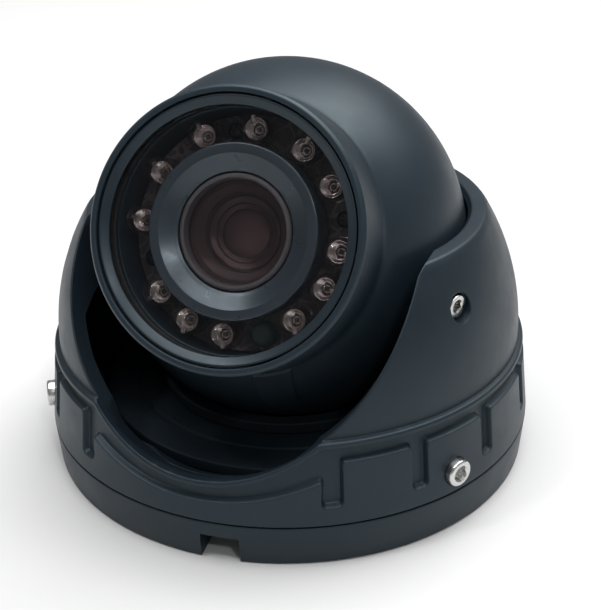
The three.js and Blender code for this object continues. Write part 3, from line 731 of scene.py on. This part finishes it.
def ball_cap():
    prof = [(float(sph(BALL_R, q)), q) for q in np.linspace(-15.3, -33.6, 60)]
    prof = prof[:-1] + [(4.0, -float(sph(BALL_R, 4.0))), (4.0, -float(sph(31, 4.0)))]
    prof += [(float(sph(31, q)), q) for q in np.linspace(-30.6, -16.3, 30)] + [(29.0, -16.3), (29.0, -15.3)]
    ob = object_of("ball_rear_body", lathe(prof, 160), BALL)
    parts, cuts = [], []
    for q in (90, 210, 330):
        px, py = 24.6 * math.cos(math.radians(q)), 24.6 * math.sin(math.radians(q))
        parts.append(moved(rod(3.3, -18.8, -16.3, 32, px, py), BALL))
        cuts.append(moved(rod(1.7, -40, -10, 24, px, py), BALL))
        cuts.append(moved(rod(2.75, -40, -18.6, 40, px, py), BALL))
    boolean(ob, "UNION", parts)
    boolean(ob, "DIFFERENCE", cuts)
    return finish(ob, ball_paint, "ball", ["ball_rear_cap"], 34)


ball_cap()

# ------------------------------------------------------------------ front glass and its ring
piece("bezel_ring_body", lathe(rnd([(20.5, 35.0), (22.1, 35.0), (22.1, 36.1, 0.18), (21.75, 36.1, 0.12), (20.5, 35.35, 0.1)]), 160), bezel_ring, "ball", ["glass_retaining_ring"], BALL)
piece("front_glass_pane", lathe(rnd([(0, 32.5), (22.1, 32.5, 0.25), (22.1, 34.7, 0.25), (0, 34.7)], closed=False), 160), window, "ball", ["front_glass"], BALL)
piece("glass_seal_ring", lathe(rnd([(20.8, 31.5, 0.2), (22.1, 31.5, 0.2), (22.1, 32.2, 0.2), (20.8, 32.2, 0.2)]), 128), black_rubber, "ball", ["glass_seal"], BALL)

# ------------------------------------------------------------------ lens
piece("lens_shroud_body", lathe(rnd([(10.1, 24.3), (14.4, 24.3), (14.4, 26.0, 0.2), (14.8, 26.4, 0.2), (14.8, 32.2, 0.35), (13.0, 32.2, 0.15), (10.7, 30.85, 0.1), (10.1, 30.6, 0.1)]), 160),
      shroud_black, "ball", ["lens_shroud"], BALL)


def barrel():
    prof = [(5.3, 5.5), (7.0, 5.5)] + thread(7.0, 5.9, 18.9, 0.5, 0.22) + [(7.0, 19.5), (9.8, 20.5, 0.2), (9.8, 30.6, 0.3), (9.45, 30.9, 0.15), (9.0, 30.9, 0.1), (9.0, 27.6, 0.1), (8.2, 27.6, 0.1)]
    prof += [(7.6, 27.0), (7.0, 26.3), (6.9, 26.2, 0.1), (6.9, 25.1, 0.1)]
    prof += [(5.3, 25.1), (5.3, 20), (5.3, 12)]
    return prof


piece("lens_barrel_body", lathe(rnd(barrel(), n=2), 144), barrel_black, "ball", ["lens_barrel"], BALL, 30)


def element(r, z_edge0, z_back, z_edge1, z_front, seg=96, n=12, flat=0.0):
    """Lens element with spherical faces: back and front heights at the middle, and at the rim."""
    pts = [(r * k / n, z_back + (z_edge0 - z_back) * (k / n) ** 2) for k in range(n + 1)]
    pts += [(r * k / n, z_front + (z_edge1 - z_front) * (k / n) ** 2) for k in range(n, -1, -1)]
    return lathe(pts, seg)


piece("lens_front_glass", element(8.7, 28.4, 28.0, 29.2, 30.7), coated, "ball", ["lens_front"], BALL)
piece("lens_inner_ring_body", lathe(rnd([(4.2, 23.9, 0.1), (5.0, 23.9, 0.1), (5.0, 25.15), (6.5, 25.15, 0.1), (6.5, 25.7, 0.2), (6.1, 25.7, 0.2), (5.3, 25.25, 0.2), (4.2, 24.6, 0.1)]), 96), inner_metal, "ball", ["lens_inner_ring"], BALL)
piece("lens_mid_glass", element(5.0, 21.7, 21.3, 22.6, 23.6), coated_inner, "ball", ["lens_mid"], BALL)
piece("lens_iris_disc", lathe(rnd([(1.3, 19.6, 0.05), (5.0, 19.6, 0.1), (5.0, 20.4, 0.1), (2.2, 20.4, 0.1), (1.3, 20.0, 0.05)]), 96), iris_black, "ball", ["lens_iris"], BALL)
piece("lens_rear_glass", element(5.0, 10.2, 9.6, 11.4, 12.2), coated, "ball", ["lens_rear"], BALL)


# ------------------------------------------------------------------ lamp board, lamps, sensor
def at_clock(c, r=LED_RING_R, spin=0.0):
    t = math.radians(c)
    return BALL @ Matrix.Translation((r * math.sin(t), r * math.cos(t), 0)) @ Matrix.Rotation(-t + math.radians(spin), 4, "Z")


ob = object_of("lamp_board", lathe(rnd([(10.1, 22.4, 0.1), (20.2, 22.4, 0.1), (20.2, 24.0, 0.1), (10.1, 24.0, 0.1)]), 128), BALL)
boolean(ob, "DIFFERENCE", [moved(rod(1.25, 21, 25, 24), at_clock(c)) for c in STANDOFF_CLOCK])
finish(ob, board_black, "ball", ["led_board"])

rng = np.random.default_rng(7)
for k, c in enumerate(LED_CLOCK):
    tag = f"ir_led_{k + 1:02d}"
    dome = [(2.4 * math.cos(t), 29.7 + 2.4 * math.sin(t)) for t in np.linspace(0, math.pi / 2, 12)][:-1] + [(0, 32.1)]
    body = [(0, 24.3), (2.65, 24.3), (2.65, 25.2), (2.55, 25.3), (2.4, 25.35)] + dome
    spin = float(rng.uniform(-25, 25))
    M = at_clock(c, spin=spin)
    piece(f"{tag}_epoxy", lathe(body, 56), epoxy, "ball", [tag], M)
    # reflector cup on its post, the die in it, and the bond post beside it
    cup = lathe(rnd([(0, 26.2), (0.7, 26.2), (0.8, 26.5), (1.2, 27.1, 0.05), (1.35, 27.1, 0.05), (1.8, 28.1, 0.05), (1.95, 28.1, 0.05), (1.95, 27.3, 0.1), (1.3, 26.0, 0.1), (0.7, 25.8), (0.5, 24.45), (0, 24.45)], closed=False, n=2), 36)
    post = merged([moved(block(-0.4, 0.4, 2.0, 2.28, 24.45, 28.5), Matrix.Identity(4)), moved(block(-0.32, 0.32, 1.1, 2.28, 28.51, 28.75), Matrix.Identity(4))])
    piece(f"{tag}_cup", merged([cup, post]), die_cup, "ball", [tag], M)
    piece(f"{tag}_die", moved(block(-0.42, 0.42, -0.42, 0.42, 26.21, 26.5), Matrix.Identity(4)), die_face, "ball", [tag], M)

M = at_clock(SENSOR_CLOCK)
sens = [(0, 24.3), (2.3, 24.3, 0.1), (2.3, 25.0, 0.1), (2.1, 25.1, 0.05), (2.1, 26.7, 0.3), (1.6, 27.2, 0.3), (0, 27.2)]
piece("light_sensor_body", lathe(rnd(sens, closed=False), 48), sensor_clear, "ball", ["light_sensor"], M)

for k, c in enumerate(STANDOFF_CLOCK):
    prof = [(0, 22.6), (0.6, 22.6)] + thread(0.85, 22.7, 24.2, 0.35, 0.12) + [(0.8, 24.3), (1.45, 24.3, 0.1), (1.45, 24.9, 0.25), (0.9, 25.3, 0.3), (0, 25.3)]
    so = object_of(f"board_screw_{k + 1}_steel", lathe(rnd(prof, closed=False, n=3), 40), at_clock(c))
    boolean(so, "DIFFERENCE", [moved(block(-0.85, 0.85, -0.16, 0.16, 24.85, 26), at_clock(c)), moved(block(-0.16, 0.16, -0.85, 0.85, 24.86, 26), at_clock(c))])
    finish(so, black_oxide, "ball", [f"board_screw_{k + 1}"], 30)

# ------------------------------------------------------------------ CAD nodes that stay, with their materials
for name, mat in {
    "ball_seal": black_rubber, "cable_grommet": black_rubber, "lens_holder": holder_plastic, "image_sensor": sensor_die, "sensor_board": board_green,
    **{f"board_standoff_{k}": brass for k in (1, 2, 3)}, **{f"rear_cap_screw_{k}": stainless for k in (1, 2, 3)},
    **{f"press_ring_screw_{k}": stainless for k in (1, 2, 3, 4)},
}.items():
    ob = nodes[name]
    for s in ob.material_slots:
        s.material = mat

# ------------------------------------------------------------------ floor, light, camera
def floor_material():
    s = Nodes("floor")
    base = s.ramp(s.noise(3, 3, 0.5), [(0.3, (0.60, 0.60, 0.60)), (0.7, (0.64, 0.64, 0.64))])
    s.principled(Base_Color=base, Roughness=0.75, Normal=s.bump(s.noise(600, 3, 0.5), 0.03, 0.0001))
    return s.mat


me = bpy.data.meshes.new("floor")
me.from_pydata([(-4, -4, -0.0001), (4, -4, -0.0001), (4, 4, -0.0001), (-4, 4, -0.0001)], [], [(0, 1, 2, 3)])
floor = bpy.data.objects.new("floor", me)
me.materials.append(floor_material())
scene.collection.objects.link(floor)

world = bpy.data.worlds.new("studio")
scene.world = world
world.use_nodes = True
bg = world.node_tree.nodes["Background"]
bg.inputs["Color"].default_value = (1.0, 1.0, 1.0, 1)
bg.inputs["Strength"].default_value = 0.22


def area(name, loc, target, size, watts, color=(1, 1, 1), size_y=None):
    l = bpy.data.lights.new(name, "AREA")
    l.energy, l.color, l.size = watts, color, size
    if size_y:
        l.shape, l.size_y = "RECTANGLE", size_y
    o = bpy.data.objects.new(name, l)
    o.location = loc
    o.rotation_mode = "QUATERNION"
    o.rotation_quaternion = (Vector(target) - Vector(loc)).to_track_quat("-Z", "Y")
    scene.collection.objects.link(o)
    return o


area("key", (0.30, 0.56, 0.95), (0, 0, 0.03), 0.8, 7.4)
area("over", (0.0, 0.08, 1.1), (0, 0, 0.0), 1.15, 16.0)
area("spark right", (0.52, -0.62, 0.80), (0, 0, 0.05), 0.07, 1.5)
area("spark left", (-0.42, -0.38, 0.95), (0, 0, 0.05), 0.07, 1.2)

cam = bpy.data.cameras.new("camera")
cam.sensor_width, cam.lens, cam.clip_start, cam.clip_end = 36.0, 70.82, 0.01, 20
eye = bpy.data.objects.new("camera", cam)
right = Vector((0.936335, 0.350880, -0.012378))
up = Vector((-0.147540, 0.425215, 0.892985))
back = -Vector((-0.318594, 0.834307, -0.449916))
m = Matrix((right, up, back)).transposed().to_4x4()
m.translation = Vector((0.0770005, -0.1951361, 0.131894))
eye.matrix_world = m
scene.collection.objects.link(eye)
scene.camera = eye

scene.view_settings.view_transform = "Standard"
